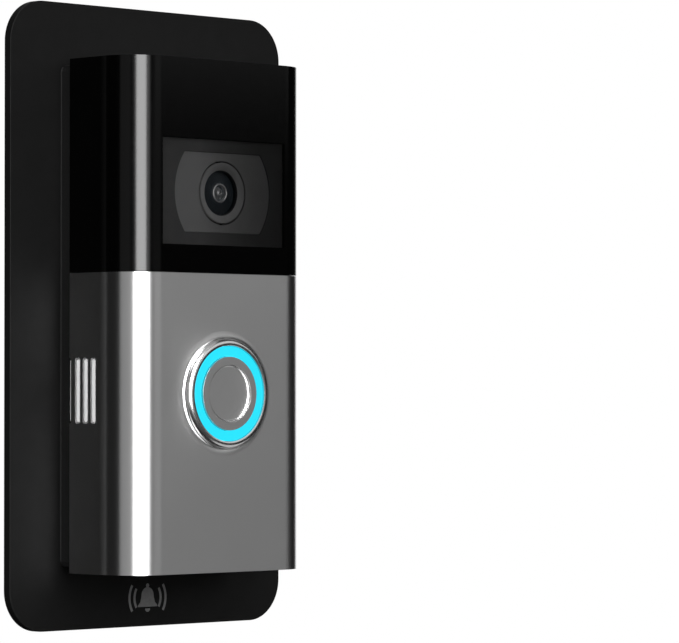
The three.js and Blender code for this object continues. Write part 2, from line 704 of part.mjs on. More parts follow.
function buttonModule() {
  const group = new THREE.Group();
  group.position.y = BUTTON.y;
  group.add(
    piece("button_housing", buttonHousing(), MATERIALS.chassis),
    piece("light_ring_board", lightRingBoard(), MATERIALS.board),
    piece("light_ring", lightRing(), MATERIALS.light),
    piece("button_bezel", buttonBezel(), MATERIALS.polished),
    piece("button_spring", buttonSpring(), MATERIALS.steel),
    piece("button_rim", buttonRim(), MATERIALS.nickel),
    piece("button_disc", buttonDisc(), MATERIALS.nickel),
  );
  return group;
}

function securityScrew() {
  const { z, length, recess } = SECURITY_SCREW;
  const mesh = piece("security_screw", screw(SECURITY_SCREW, length), MATERIALS.steel);
  mesh.position.set(0, -BODY.height / 2 + recess, z);
  mesh.rotation.x = Math.PI / 2; // its head faces down
  return mesh;
}

// ---------------------------------------------------------------- battery pack
// The recess that the release tab lies in.
function latchPocket(low, back) {
  const half = LATCH.half + LATCH.clear;
  return block([-half, half], [low, LATCH.high + LATCH.clear], [back, 30]);
}

function batteryCase() {
  const { half, top, bottom, back, front, wall } = BATTERY;
  return block([-half, half], [bottom, top], [back, front])
    .subtract(block([-half + wall, half - wall], [bottom - 1, top - wall], [back + wall, front - wall]))
    .subtract(latchPocket(bottom - 1, 15));
}

function batteryEndCap() {
  const { half, bottom, back, front, wall, fit } = BATTERY;
  const { half: capHalf, low, front: capFront, plugTop } = END_CAP;
  const inside = half - wall - fit;
  const plug = block(
    [-inside, inside],
    [bottom - 0.5, plugTop],
    [back + wall + fit, front - wall - fit],
  );
  return block([-capHalf, capHalf], [low, bottom - fit], [back, capFront])
    .add(plug)
    .subtract(latchPocket(-70, 15.4));
}

function batteryLatch() {
  const { half, low, high, back, front } = LATCH;
  const ridge = block([-4, 4], [0, 0.6], [front - 0.1, front + 0.4]);
  const ridges = [-62.6, -61.2, -59.8].map((y) => ridge.translate([0, y, 0]));
  return joined(block([-half, half], [low, high], [back, front]), ...ridges);
}

function batteryPack() {
  const { half, top, back, front, wall, fit } = BATTERY;
  const inside = half - wall - fit;
  const cell = block([fit, inside], [CELL.low, CELL.high], [back + CELL.clear, front - CELL.clear]);
  const terminals = block([-8, 8], [top + 0.05, top + 0.4], [9, 15]);
  return [
    piece("battery_case", batteryCase(), MATERIALS.chassis),
    piece("battery_cell_left", cell, MATERIALS.cell, [-inside - fit, 0, 0]),
    piece("battery_cell_right", cell, MATERIALS.cell),
    piece("battery_terminals", terminals, MATERIALS.brass),
    piece("battery_end_cap", batteryEndCap(), MATERIALS.housing),
    piece("battery_release_tab", batteryLatch(), MATERIALS.orange),
  ];
}

// ---------------------------------------------------------------- the whole doorbell
const doorbell = new THREE.Group();
doorbell.rotation.x = Math.PI / 2; // stands the wall's frame upright
doorbell.add(
  piece("mounting_plate", mountingPlate(), MATERIALS.plate),
  piece("rear_seal", rearSeal(), MATERIALS.rubber),
  piece("rear_housing", rearHousing(), MATERIALS.housing),
  ...wiringTerminals(),
  ...mountingScrews(),
  speaker(),
  piece("battery_contacts", batteryContacts(), MATERIALS.chip),
  ...boards(),
  piece("front_chassis", frontChassis(), MATERIALS.chassis),
  ...chassisScrews(),
  camera(),
  piece("camera_window", cameraWindow(), MATERIALS.smoked, [0, CAMERA.y, 0]),
  piece("camera_cover", cameraCover(), MATERIALS.glossBlack),
  buttonModule(),
  piece("faceplate", faceplate(), MATERIALS.nickel),
  piece("speaker_mesh", speakerMesh(), MATERIALS.mesh),
  securityScrew(),
  ...batteryPack(),
);

export default doorbell;
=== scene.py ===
"""Looks of the battery video doorbell on its wall plate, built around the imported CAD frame.

Pieces are drawn in the wall's own frame, in millimetres: x to the visitor's right, y up the wall,
z straight out of the wall. place() turns a finished mesh into the row's frame, in metres.
"""

import json
import math

import bmesh
import bpy
from mathutils import Matrix, Vector


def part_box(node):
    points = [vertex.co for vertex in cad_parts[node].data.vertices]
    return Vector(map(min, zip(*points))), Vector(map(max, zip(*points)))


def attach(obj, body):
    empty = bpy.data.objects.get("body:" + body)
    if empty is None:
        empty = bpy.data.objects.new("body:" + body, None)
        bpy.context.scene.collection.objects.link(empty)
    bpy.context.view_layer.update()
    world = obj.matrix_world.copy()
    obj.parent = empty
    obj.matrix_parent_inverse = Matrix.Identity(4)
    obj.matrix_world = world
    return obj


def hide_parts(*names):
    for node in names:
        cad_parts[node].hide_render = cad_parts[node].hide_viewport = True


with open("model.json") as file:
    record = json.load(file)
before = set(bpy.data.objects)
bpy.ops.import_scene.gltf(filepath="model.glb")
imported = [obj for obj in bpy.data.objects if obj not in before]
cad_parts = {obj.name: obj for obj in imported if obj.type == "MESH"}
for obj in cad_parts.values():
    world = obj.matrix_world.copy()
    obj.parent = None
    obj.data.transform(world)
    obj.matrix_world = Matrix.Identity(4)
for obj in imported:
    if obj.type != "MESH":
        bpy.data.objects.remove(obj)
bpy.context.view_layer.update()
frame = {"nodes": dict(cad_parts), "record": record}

MM = 0.001
WALL_TO_ROW = Matrix(((MM, 0, 0, 0), (0, 0, -MM, 0), (0, MM, 0, 0), (0, 0, 0, 1)))


# ------------------------------------------------------------------ sizes read from the frame
def wall_box(node):
    """The low and high corner of a CAD node in the wall's frame, in millimetres."""
    low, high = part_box(node)
    return (
        Vector((low.x, low.z, -high.y)) / MM,
        Vector((high.x, high.z, -low.y)) / MM,
    )


COVER_LOW, COVER_HIGH = wall_box("camera_cover")
FACE_LOW, FACE_HIGH = wall_box("faceplate")
PLATE_LOW, PLATE_HIGH = wall_box("mounting_plate")
WINDOW_LOW, WINDOW_HIGH = wall_box("camera_window")
SHADE_LOW, SHADE_HIGH = wall_box("lens_shade")
RING_LOW, RING_HIGH = wall_box("lens_ring")
BARREL_TOP = wall_box("lens_barrel")[1].z
CROWN = wall_box("lens_front_element")[1].z
LIGHT_LOW, LIGHT_HIGH = wall_box("light_ring")
RIM_LOW, RIM_HIGH = wall_box("button_rim")
DISC_LOW, DISC_HIGH = wall_box("button_disc")
BEZEL_BACK = wall_box("button_bezel")[0].z

HALF_WIDTH = COVER_HIGH.x
FRONT = COVER_HIGH.z  # depth of the shells' flat front
SHELL_BACK = COVER_LOW.z  # depth where their side walls end
BUTTON = (0.0, (LIGHT_LOW.y + LIGHT_HIGH.y) / 2)
EYE = (0.0, (WINDOW_LOW.y + WINDOW_HIGH.y) / 2)

# ------------------------------------------------------------------ other sizes, in millimetres
ARC = 24  # segments in a quarter circle
ROUND = 128  # segments round a button or lens
EASED_ANGLE = 30  # degrees: sharper edges are rounded
SMOOTH_ANGLE = 35  # degrees: sharper edges stay crisp in the shading
FLAT_ANGLE = 1  # degrees: a CAD node's flatter edges are dissolved
KEPT_ANGLE = 32  # degrees: its sharper edges are rounded
KEPT_EDGE = 0.12
BEYOND = 5  # how far a cutting tool reaches past the front
OVERLAP = 0.1  # how far two solids that are joined run into each other
WIDE = (-40, 40)  # wider than the doorbell
ON_AXIS = 1e-6  # a smaller radius is a point on the axis

# the two outer shells
CORNER = 10.0
SHELL_WALL = 1.4
END_WALL = 1.6
FACE_EDGE = 0.22
COVER_EDGE = 0.07

# camera cover: the pocket that holds the window, and the foot inside the bottom edge
POCKET_GAP, POCKET_BACK_GAP = 0.12, 0.1
POCKET_LEDGE = 1.2
OPENING_BACK = 20
FOOT_HEIGHT = 1.4
FOOT_BACK = 27.3

# faceplate
EXIT_HALF, EXIT_FRONT = 23.1, 19.6  # the way out for the battery
SECURITY_SCREW_DEPTH = 24.5
SCREW_HOLE, HEAD_HOLE = 1.4, 2.6  # radii
BUTTON_HOLE = 15.2
PEG_X, PEG_HEIGHTS = 18, (3, -56)
PEG_RADIUS, PEG_BACK = 1.2, 25.6
PEG_TIP_RADIUS, PEG_TIP = 1.0, 0.3
PEG_ROOT = 0.4  # how far a peg runs into the wall
# the collar pressed out round the button: (radius, height above the front)
COLLAR = [
    (15.9, 0.0), (15.5, 0.02), (15.1, 0.06), (14.8, 0.12),
    (14.5, 0.21), (14.25, 0.33), (14.05, 0.5), (13.95, 0.62),
]
COLLAR_ROOT = 0.02  # the collar's outer edge starts this far below the front

# speaker slots in the left wall, and the mesh whose ribs stand in them
SLOT_WIDTH, SLOT_CORNER = 2.0, 0.6
SLOT_LOW, SLOT_HIGH = -26.8, -10.5
SLOT_DEPTHS = (16.0, 13.1, 10.2, 6.75)  # how far out from the wall each slot is
SLOT_CUT = (-33, -29)  # from outside the wall to inside it
MESH_LOW, MESH_HIGH, MESH_FRONT = -28, -9, 18.4
MESH_THICKNESS, MESH_GAP = 0.4, 0.1  # the gap is to the wall
MESH_EDGE_GAP = 0.15
RIB_SUNK = 0.15  # the ribs' faces lie this far inside the wall's outer surface
RIB_CLEAR, RIB_CORNER, RIB_EDGE = 0.4, 0.5, 0.06

# mounting plate
PLATE_CORNER, PLATE_EDGE = 10.5, 0.4
CUTOUT_END_HALF, CUTOUT_NECK_HALF, CUTOUT_CORNER = 24.9, 18.5, 2.5
CUTOUT_TOP, CUTOUT_BOTTOM, CUTOUT_SHOULDER = 47.7, -47.1, 36.8
PLATE_SLOT_WIDTH, PLATE_SLOT_LENGTH, PLATE_SLOT_CORNER = 4.5, 10.6, 2.24
PLATE_SLOT_X, PLATE_SLOT_HEIGHTS = 26.6, (4.6, -54.6)

# button
STEM_RADIUS = 1.9
WEB_BACK = 30.6  # underside of the button over its spring
SKIRT_INNER, SKIRT_BACK = 8, 29.3
SEAT_RADIUS, SEAT = 7.2, 31.4
RIM_EDGE = 0.03
DISH_LIP, DISH_SLOPE, DISH_DEPTH, DISH_EDGE = 0.08, 0.45, 0.32, 0.05
DISH_STEPS = 5
LIGHT_INNER, LIGHT_EDGE = 9.35, 0.3
BEAD_INNER, BEAD_CENTRE, BEAD_LEVEL, BEAD_RADIUS = 12.0, 12.5, 31.05, 1.35

# camera window and lens shade
PANE_LAP = 0.1  # the pane reaches this far into the pocket's gap
PANE_SUNK = 0.02
PRINT_THICKNESS, PRINT_GAP = 0.06, 0.02
SHADE_RADIUS, SHADE_HOLE, SHADE_EDGE = 16.25, 8.05, 0.2
PRINT_CLEAR = 0.1  # the print's opening is this much larger than the shade

# lens
RING_INNER, RING_OUTER, RING_EDGE = 5.7, 7.6, 0.12
# the ring's front, falling inwards: (radius, depth below its rim)
RING_FUNNEL = [(7.5, 0), (7.2, 0.02), (6.7, 0.14), (6.2, 0.33), (5.85, 0.5), (5.7, 0.56)]
DOME_RADIUS, DOME_BOW, DOME_THICKNESS, DOME_STEPS = 5.6, 15.0, 0.45, 24
BARREL_INNER, BARREL_OUTER, BARREL_BACK = 5.6, 7.7, 24
BAFFLE_RADIUS, BAFFLE_STEP, BAFFLE_STEPS = 5.55, 0.5, 6
BAFFLE_BACK, BAFFLE_FLOOR = 26.9, 27.6
BAFFLE_TREAD, BAFFLE_RISER = 0.3, 0.06  # widths of a step's flat and of the slope down to the next
BAFFLE_OUTER_DROP, BAFFLE_INNER_DROP, BAFFLE_STEP_DROP = 0.6, 0.55, 1.05  # below the glass
IRIS_BACK = 27.65
IRIS_RIM, IRIS_RIM_HALF, IRIS_RIM_RISE, IRIS_RIM_DROP = 2.2, 0.24, 0.2, 0.75
# the iris inside its rim: (radius, depth below the crown of the glass)
IRIS_CENTRE = [(1.92, 1.6), (1.1, 1.5), (1.0, 0.8), (0.46, 0.55), (0.4, 0.6), (0.38, 1.3), (0, 1.3)]

# bell mark on the plate's lower margin
MARK = (-0.4, -71.3)
MARK_SUNK, MARK_RISE = 0.02, 0.03
BELL_SKIRT = [(3.3, -2.3), (3.3, -1.9), (2.5, -1.1), (2.15, 0.2)]
BELL_DOME_LEVEL, BELL_DOME_RADIUS = 0.6, 2.1
KNOB_LEVEL, KNOB_RADIUS = 3.1, 0.55
CLAPPER_LEVEL, CLAPPER_RADIUS = -2.75, 0.85
SOUND_RADII, SOUND_HALF_WIDTH, SOUND_HALF_ANGLE = (4.5, 6.2), 0.35, 32

# ------------------------------------------------------------------ studio, in metres and degrees
OBJECT_CENTRE = Vector((0, -0.015, 0))
LENS_MM, SENSOR_MM = 207.7, 36.0
CAMERA_PLACE = Vector((-0.67469, -0.74115, -0.02013))
CAMERA_YAW, CAMERA_PITCH = 45.19, 1.10  # to the right of +Y, and above the horizon
FLOOR_RADIUS, FLOOR_LEVEL = 2.5, -0.75
WORLD_GLOW = 0.02

# soft lights aimed at the doorbell: azimuth, elevation, distance, width, height and radiance;
# azimuth 0 is straight in front of it and grows to its left
PANELS = {
    "strip": (26.5, 18, 1.4, 0.72, 1.5, 28.0),
    "strip_skirt": (23.5, 18, 1.45, 1.15, 1.5, 4.0),
    "left_fill": (72, 0, 1.5, 0.8, 1.4, 0.6),
    "front_band": (-21, 2, 1.5, 0.7, 0.6, 0.3),
    "front_high": (-38, 24, 1.6, 1.4, 0.95, 0.95),
    "front_low": (-58, -38, 1.6, 1.3, 0.8, 0.85),
    "front_fill": (-38, 24, 1.6, 1.4, 0.95, 0.45),
    "side_wash": (100, 10, 1.5, 0.8, 0.8, 9.0),
    "behind_left": (145, 0, 1.5, 0.5, 1.2, 0.25),
    "right_edge": (-125, 0, 1.5, 0.9, 1.6, 1.0),
    "top": (0, 70, 1.4, 1.2, 1.2, 0.6),
    "behind": (200, 20, 1.8, 1.2, 1.2, 1.2),
}
ONLY_REFLECTED = ("strip", "strip_skirt", "front_low")
NOT_REFLECTED = ("front_fill", "side_wash")
FLOOR_WASH_PLACE = (0, -0.0156, -0.35)
FLOOR_WASH_SIZE, FLOOR_WASH_RADIANCE = 5.0, 1.05


# ------------------------------------------------------------------ outlines
def arc(cx, cy, radius, start, end, steps=ARC):
    """Points on an arc, both ends included; angles in degrees."""
    angles = [math.radians(start + (end - start) * i / steps) for i in range(steps + 1)]
    return [(cx + radius * math.cos(a), cy + radius * math.sin(a)) for a in angles]


def rounded_rectangle(width, height, radius, cx=0.0, cy=0.0, steps=8):
    x, y = width / 2 - radius, height / 2 - radius
    return (
        arc(cx + x, cy - y, radius, -90, 0, steps)
        + arc(cx + x, cy + y, radius, 0, 90, steps)
        + arc(cx - x, cy + y, radius, 90, 180, steps)
        + arc(cx - x, cy - y, radius, 180, 270, steps)
    )


def plan(inset, back):
    """The doorbell seen from above as (x, z), all of it inset inside the outer surface."""
    half, front, radius = HALF_WIDTH - inset, FRONT - inset, CORNER - inset
    return (
        [(-half, back), (half, back)]
        + arc(half - radius, front - radius, radius, 0, 90)
        + arc(radius - half, front - radius, radius, 90, 180)
    )


def rounded_polygon(corners, radius, steps=5):
    """A polygon with square corners, each rounded to the same radius."""
    points = []
    for i, corner in enumerate(corners):
        here = Vector(corner)
        before = (Vector(corners[i - 1]) - here).normalized() * radius
        after = (Vector(corners[(i + 1) % len(corners)]) - here).normalized() * radius
        centre = here + before + after
        for k in range(steps + 1):
            t = math.radians(90 * k / steps)
            points.append(tuple(centre - after * math.cos(t) - before * math.sin(t)))
    return points


def rounded_crest(inner, outer, top, ease, steps):
    """The top of a ring's profile, from its outer wall to its inner one, with both corners eased."""
    return (
        arc(outer - ease, top - ease, ease, 0, 90, steps)
        + arc(inner + ease, top - ease, ease, 90, 180, steps)
    )


def below(level, profile):
    """A profile of (radius, depth under the level) as (radius, z)."""
    return [(radius, level - depth) for radius, depth in profile]


# ------------------------------------------------------------------ building solids, in millimetres
def link(name, data):
    """A new object in the scene."""
    made = bpy.data.objects.new(name, data)
    bpy.context.scene.collection.objects.link(made)
    return made


def mesh_object(name, bm):
    bmesh.ops.recalc_face_normals(bm, faces=bm.faces)
    mesh = bpy.data.meshes.new(name)
    bm.to_mesh(mesh)
    bm.free()
    return link(name, mesh)


def swept(points, low, high, place_point):
    """A closed solid between two copies of an outline."""
    bm = bmesh.new()
    rings = [[bm.verts.new(place_point(x, y, level)) for x, y in points] for level in (low, high)]
    count = len(points)
    for i in range(count):
        j = (i + 1) % count
        bm.faces.new((rings[0][i], rings[0][j], rings[1][j], rings[1][i]))
    bm.faces.new(rings[0])
    bm.faces.new(rings[1])
    return mesh_object("swept", bm)


def prism(outline, z0, z1):
    """An (x, y) outline pushed out of the wall from depth z0 to z1."""
    return swept(outline, z0, z1, lambda x, y, z: (x, y, z))


def upright(outline, y0, y1):
    """An (x, z) outline raised from height y0 to y1."""
    return swept(outline, y0, y1, lambda x, z, y: (x, y, z))


def sideways(outline, x0, x1):
    """A (y, z) outline pushed from x0 to x1."""
    return swept(outline, x0, x1, lambda y, z, x: (x, y, z))


def block(x, y, z):
    return prism([(x[0], y[0]), (x[1], y[0]), (x[1], y[1]), (x[0], y[1])], z[0], z[1])


def turned(profile, segments=ROUND, at=(0.0, 0.0)):
    """A round solid about the z axis from (radius, z) points.

    A profile that starts off the axis closes on itself, which leaves a hole through the middle.
    """
    bm = bmesh.new()
    angles = [2 * math.pi * k / segments for k in range(segments)]
    columns = []
    for radius, z in profile:
        if radius < ON_AXIS:
            columns.append([bm.verts.new((at[0], at[1], z))] * segments)
            continue
        columns.append(
            [bm.verts.new((at[0] + radius * math.cos(a), at[1] + radius * math.sin(a), z)) for a in angles]
        )
    pairs = list(zip(columns, columns[1:]))
    if profile[0][0] > ON_AXIS:
        pairs.append((columns[-1], columns[0]))
    for near, far in pairs:
        for k in range(segments):
            n = (k + 1) % segments
            face = list(dict.fromkeys([near[k], near[n], far[n], far[k]]))
            if len(face) > 2:
                bm.faces.new(face)
    return mesh_object("turned", bm)


def cylinder(radius, low, high, segments=ROUND, at=(0.0, 0.0)):
    return turned([(0, low), (radius, low), (radius, high), (0, high)], segments, at)


def evaluated(made):
    """Bakes an object's modifiers into its mesh."""
    graph = bpy.context.evaluated_depsgraph_get()
    mesh = bpy.data.meshes.new_from_object(made.evaluated_get(graph))
    made.modifiers.clear()
    made.data = mesh
    return made


def combine(base, tools, operation):
    for tool in tools:
        step = base.modifiers.new("step", "BOOLEAN")
        step.object = tool
        step.operation = operation
        step.solver = "EXACT"
        evaluated(base)
        bpy.data.objects.remove(tool)
    return base


def cut(base, *tools):
    return combine(base, tools, "DIFFERENCE")


def join(base, *tools):
    return combine(base, tools, "UNION")


def common(base, *tools):
    return combine(base, tools, "INTERSECT")


def eased(made, width, segments=3):
    """Rounds every sharp edge."""
    step = made.modifiers.new("edges", "BEVEL")
    step.width = width
    step.segments = segments
    step.limit_method = "ANGLE"
    step.angle_limit = math.radians(EASED_ANGLE)
    step.miter_outer = "MITER_ARC"
    return evaluated(made)


def place(made, name, body, slot, stands_for=(), look=None):
    """Names a finished solid, turns it into the row's frame and makes it ride on its body.

    Its material is the one named like its slot, unless another look is named.
    """
    made.data.transform(WALL_TO_ROW)
    made.name = made.data.name = name
    made.data.materials.clear()
    made.data.materials.append(MATERIALS[look or slot])
    for polygon in made.data.polygons:
        polygon.use_smooth = True
    made.data.set_sharp_from_angle(angle=math.radians(SMOOTH_ANGLE))
    even = made.modifiers.new("even shading", "WEIGHTED_NORMAL")
    even.keep_sharp = True
    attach(made, body)
    if stands_for:
        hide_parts(*stands_for)
    return made


# ------------------------------------------------------------------ materials
class Shader:
    """A Principled material with short ways to add nodes; coordinates are the row's, in millimetres."""

    def __init__(self, name, **sockets):
        self.material = bpy.data.materials.new(name)
        self.material.use_nodes = True
        self.nodes = self.material.node_tree.nodes
        self.links = self.material.node_tree.links
        self.bsdf = self.nodes["Principled BSDF"]
        for key, value in sockets.items():
            socket = key.replace("_", " ").title().replace("Ior", "IOR")
            self.bsdf.inputs[socket].default_value = value
        metres = self.node("ShaderNodeTexCoord").outputs["Object"]
        scaled = self.node("ShaderNodeVectorMath", {0: metres, "Scale": 1 / MM}, operation="SCALE")
        self.millimetres = scaled.outputs[0]

    def node(self, kind, inputs=(), **settings):
        made = self.nodes.new(kind)
        for key, value in settings.items():
            setattr(made, key, value)
        for key, value in dict(inputs).items():
            if isinstance(value, bpy.types.NodeSocket):
                self.links.new(value, made.inputs[key])
            else:
                made.inputs[key].default_value = value
        return made

    def drive(self, socket, value):
        self.links.new(value, self.bsdf.inputs[socket])

    def vector(self, operation, first, second):
        return self.node("ShaderNodeVectorMath", {0: first, 1: second}, operation=operation).outputs[0]

    def along(self, axis):
        """One coordinate, in millimetres."""
        return self.node("ShaderNodeSeparateXYZ", {0: self.millimetres}).outputs[axis]

    def noise(self, scale, detail=3.0, roughness=0.5, vector=None):
        settings = {
            "Vector": vector or self.millimetres,
            "Scale": scale,
            "Detail": detail,
            "Roughness": roughness,
        }
        return self.node("ShaderNodeTexNoise", settings).outputs["Fac"]

    def ranged(self, value, low, high, start, end):
        """Maps start..end to low..high."""
        settings = {"Value": value, "From Min": start, "From Max": end, "To Min": low, "To Max": high}
        return self.node("ShaderNodeMapRange", settings).outputs["Result"]

    def ramp(self, value, stops):
        made = self.node("ShaderNodeValToRGB", {"Fac": value})
        elements = made.color_ramp.elements
        while len(elements) < len(stops):
            elements.new(0.5)
        for element, (position, colour) in zip(elements, stops):
            element.position = position
            element.color = (*colour, 1.0)
        return made.outputs["Color"]

    def mottle(self, low, high, scale, detail=3.0, spread=0.2):
        """Base colour that wanders between two colours; a wider spread makes softer patches."""
        patches = self.noise(scale, detail)
        self.drive("Base Color", self.ramp(patches, [(0.5 - spread, low), (0.5 + spread, high)]))

    def polish(self, low, high, noise):
        """Roughness that wanders between two values."""
        self.drive("Roughness", self.ranged(noise, low, high, 0.3, 0.7))

    def bump(self, height, strength, depth):
        """Relief of the given depth in millimetres."""
        settings = {"Height": height, "Strength": strength, "Distance": depth * MM}
        self.drive("Normal", self.node("ShaderNodeBump", settings).outputs["Normal"])


def grey(value):
    return (value, value, value)


def satin_nickel():
    """Nickel plate brushed across, so that its reflections spread up and down."""
    s = Shader("satin_nickel", metallic=1.0, anisotropic=0.9, anisotropic_rotation=0.25)
    normal = s.node("ShaderNodeNewGeometry").outputs["Normal"]
    level = s.vector("CROSS_PRODUCT", (0, 0, 1), normal)
    s.drive("Tangent", s.vector("ADD", level, (0.001, 0, 0)))  # never zero, even on a level face
    s.mottle(grey(0.505), grey(0.52), 0.05, 2.0)
    brushed = s.noise(1.0, 3.0, 0.6, s.vector("MULTIPLY", s.millimetres, (0.15, 0.15, 6.0)))
    s.polish(0.35, 0.37, brushed)
    return s.material


def polished_nickel():
    s = Shader("polished_nickel", metallic=1.0)
    s.mottle(grey(0.52), grey(0.56), 0.4)
    s.polish(0.2, 0.24, s.noise(2.0))
    return s.material


def gloss_black():
    s = Shader("gloss_black", ior=1.25)
    s.mottle(grey(0.0002), grey(0.0004), 0.1)
    s.polish(0.15, 0.17, s.noise(0.6, 4.0))
    return s.material


GRAIN_SCALE, GRAIN_STRENGTH, GRAIN_DEPTH = 2.2, 0.5, 0.03  # of spark-eroded plastic


def spark_grain(s):
    s.bump(s.noise(GRAIN_SCALE, 4.0, 0.6), GRAIN_STRENGTH, GRAIN_DEPTH)


def moulded(name, low, high, roughness):
    """Dark moulded plastic with a fine spark-eroded grain."""
    s = Shader(name, specular_ior_level=0.15)
    s.mottle(grey(low), grey(high), 0.15, spread=0.25)
    s.polish(roughness - 0.06, roughness + 0.08, s.noise(GRAIN_SCALE))
    spark_grain(s)
    return s.material


def plate_plastic():
    """Fine-grained black moulding whose thin sides are painted darker than its face: painted shade."""
    s = Shader("plate_plastic", specular_ior_level=0.04)
    face = -PLATE_HIGH.z  # the row's Y grows from the plate's face towards the wall
    # painted shade: the colour darkens where the row's Y passes from the face on to the thin sides
    painted_side_shade = s.ranged(s.along("Y"), 0.0, 0.6, face + 0.15, face + 0.3)
    mottled = s.ranged(s.noise(0.15), 0.0, 0.3, 0.25, 0.75)
    mottle_and_painted_shade = s.node("ShaderNodeMath", {0: painted_side_shade, 1: mottled}, operation="ADD").outputs[0]
    # the random mottle spans 0 to 0.3; the stops beyond it are the sides' painted shade
    stops = [(0.0, 0.025), (0.3, 0.021), (0.6, 0.005), (1.0, 0.004)]
    s.drive("Base Color", s.ramp(mottle_and_painted_shade, [(position, grey(value)) for position, value in stops]))
    s.polish(0.54, 0.68, s.noise(GRAIN_SCALE))
    spark_grain(s)
    return s.material


def smoked_window():
    """Clear pane with a smoked film whose opacity rises towards its right-hand end, painted shade that
    darkens the window from left to right.
    """
    s = Shader("smoked_window", roughness=0.05, ior=1.2)
    across = s.ranged(s.along("X"), 0.0, 1.0, WINDOW_LOW.x, WINDOW_HIGH.x)
    # painted shade: opacity that grows along X darkens the pane and what shows through it towards the right
    painted_shade_film = [(0.0, 0.14), (0.3, 0.15), (0.5, 0.24), (0.75, 0.33), (1.0, 0.39)]
    s.mottle(grey(0.0015), grey(0.0025), 0.3)
    s.drive("Alpha", s.ramp(across, [(position, grey(opacity)) for position, opacity in painted_shade_film]))
    return s.material


def window_print():
    """Grey print on the back of the pane."""
    s = Shader("window_print", roughness=0.6, specular_ior_level=0.05)
    s.mottle(grey(0.165), grey(0.18), 0.3)
    return s.material


def shade_grey():
    s = Shader("shade_grey", roughness=0.6, specular_ior_level=0.05)
    s.mottle(grey(0.48), grey(0.51), 0.3)
    s.bump(s.noise(4.0), 0.3, 0.01)
    return s.material


def ring_grey():
    s = Shader("ring_grey", roughness=0.6, specular_ior_level=0.05)
    s.mottle(grey(0.58), grey(0.64), 0.5)
    s.bump(s.noise(5.0), 0.2, 0.01)
    return s.material


def baffle_grey():
    s = Shader("baffle_grey", roughness=0.55, specular_ior_level=0.2)
    s.mottle((0.36, 0.41, 0.45), (0.42, 0.47, 0.51), 0.8)
    s.bump(s.noise(6.0), 0.2, 0.01)
    return s.material


def iris_metal():
    s = Shader("iris_metal", metallic=0.3)
    s.mottle(grey(0.75), grey(0.85), 1.5)
    s.polish(0.4, 0.5, s.noise(4.0))
    return s.material


def mark_ink():
    s = Shader("mark_ink", roughness=0.6)
    s.mottle(grey(0.30), grey(0.36), 1.2)
    s.bump(s.noise(6.0), 0.3, 0.005)
    return s.material


def barrel_black():
    s = Shader("barrel_black", roughness=0.3)
    s.mottle(grey(0.02), grey(0.03), 1.0)
    s.bump(s.noise(6.0), 0.2, 0.01)
    return s.material


def lens_glass():
    s = Shader("lens_glass", roughness=0.12, ior=1.2, alpha=0.33)
    s.mottle((0.02, 0.035, 0.05), (0.03, 0.05, 0.07), 0.2)
    return s.material


def light_guide():
    """Glowing light guide."""
    glow = (0.02, 0.76, 0.97, 1)
    s = Shader(
        "light_guide", roughness=0.35, specular_ior_level=0.1, emission_strength=1.0, emission_color=glow
    )
    s.mottle((0.02, 0.2, 0.24), (0.03, 0.22, 0.26), 0.5)
    return s.material


def acoustic_mesh():
    s = Shader("acoustic_mesh", roughness=0.7)
    weave = s.node("ShaderNodeTexVoronoi", {"Vector": s.millimetres, "Scale": 4.0}).outputs["Distance"]
    s.drive("Base Color", s.ramp(weave, [(0.0, grey(0.80)), (0.5, grey(0.75))]))
    s.bump(weave, 0.1, 0.01)
    return s.material


def rubber():
    s = Shader("black_rubber", roughness=0.85)
    s.mottle(grey(0.004), grey(0.007), 0.8)
    s.bump(s.noise(5.0), 0.3, 0.02)
    return s.material


def metal(name, low, high, roughness):
    s = Shader(name, metallic=1.0)
    s.mottle(low, high, 0.6)
    s.polish(roughness - 0.08, roughness + 0.1, s.noise(2.0))
    s.bump(s.noise(6.0), 0.05, 0.004)
    return s.material


def tinted(name, low, high, roughness):
    """Plain plastic, resin or film of one colour."""
    s = Shader(name, roughness=roughness)
    s.mottle(low, high, 0.5)
    s.bump(s.noise(3.0), 0.3, 0.01)
    return s.material


MATERIALS = {
    "plate_plastic": plate_plastic(),
    "black_rubber": rubber(),
    "housing_plastic": moulded("housing_plastic", 0.006, 0.008, 0.6),
    "chassis_plastic": moulded("chassis_plastic", 0.008, 0.011, 0.5),
    "battery_plastic": moulded("battery_plastic", 0.012, 0.016, 0.5),
    "tab_plastic": tinted("tab_plastic", (0.6, 0.16, 0.02), (0.68, 0.19, 0.03), 0.45),
    "gloss_black": gloss_black(),
    "smoked_window": smoked_window(),
    "shade_grey": shade_grey(),
    "window_print": window_print(),
    "ring_grey": ring_grey(),
    "baffle_grey": baffle_grey(),
    "iris_metal": iris_metal(),
    "mark_ink": mark_ink(),
    "barrel_black": barrel_black(),
    "lens_glass": lens_glass(),
    "infrared_resin": tinted("infrared_resin", (0.02, 0.004, 0.006), (0.03, 0.006, 0.01), 0.15),
    "satin_nickel": satin_nickel(),
    "polished_nickel": polished_nickel(),
    "light_ring": light_guide(),
    "acoustic_mesh": acoustic_mesh(),
    "circuit_board": tinted("circuit_board", (0.006, 0.06, 0.025), (0.01, 0.085, 0.035), 0.35),
    "tinned_can": metal("tinned_can", grey(0.55), grey(0.62), 0.3),
    "chip_plastic": tinted("chip_plastic", grey(0.008), grey(0.012), 0.45),
    "antenna_film": tinted("antenna_film", (0.5, 0.18, 0.02), (0.56, 0.22, 0.03), 0.3),
    "brass": metal("brass", (0.72, 0.5, 0.18), (0.78, 0.56, 0.22), 0.25),
    "steel": metal("steel", grey(0.42), grey(0.5), 0.3),
    "cell_foil": tinted("cell_foil", (0.03, 0.09, 0.22), (0.04, 0.11, 0.26), 0.35),
}


# ------------------------------------------------------------------ the two outer shells
def window_block(grow, z):
    """A block as wide and as high as the camera window, grown all round."""
    return block(
        (WINDOW_LOW.x - grow, WINDOW_HIGH.x + grow),
        (WINDOW_LOW.y - grow, WINDOW_HIGH.y + grow),
        z,
    )


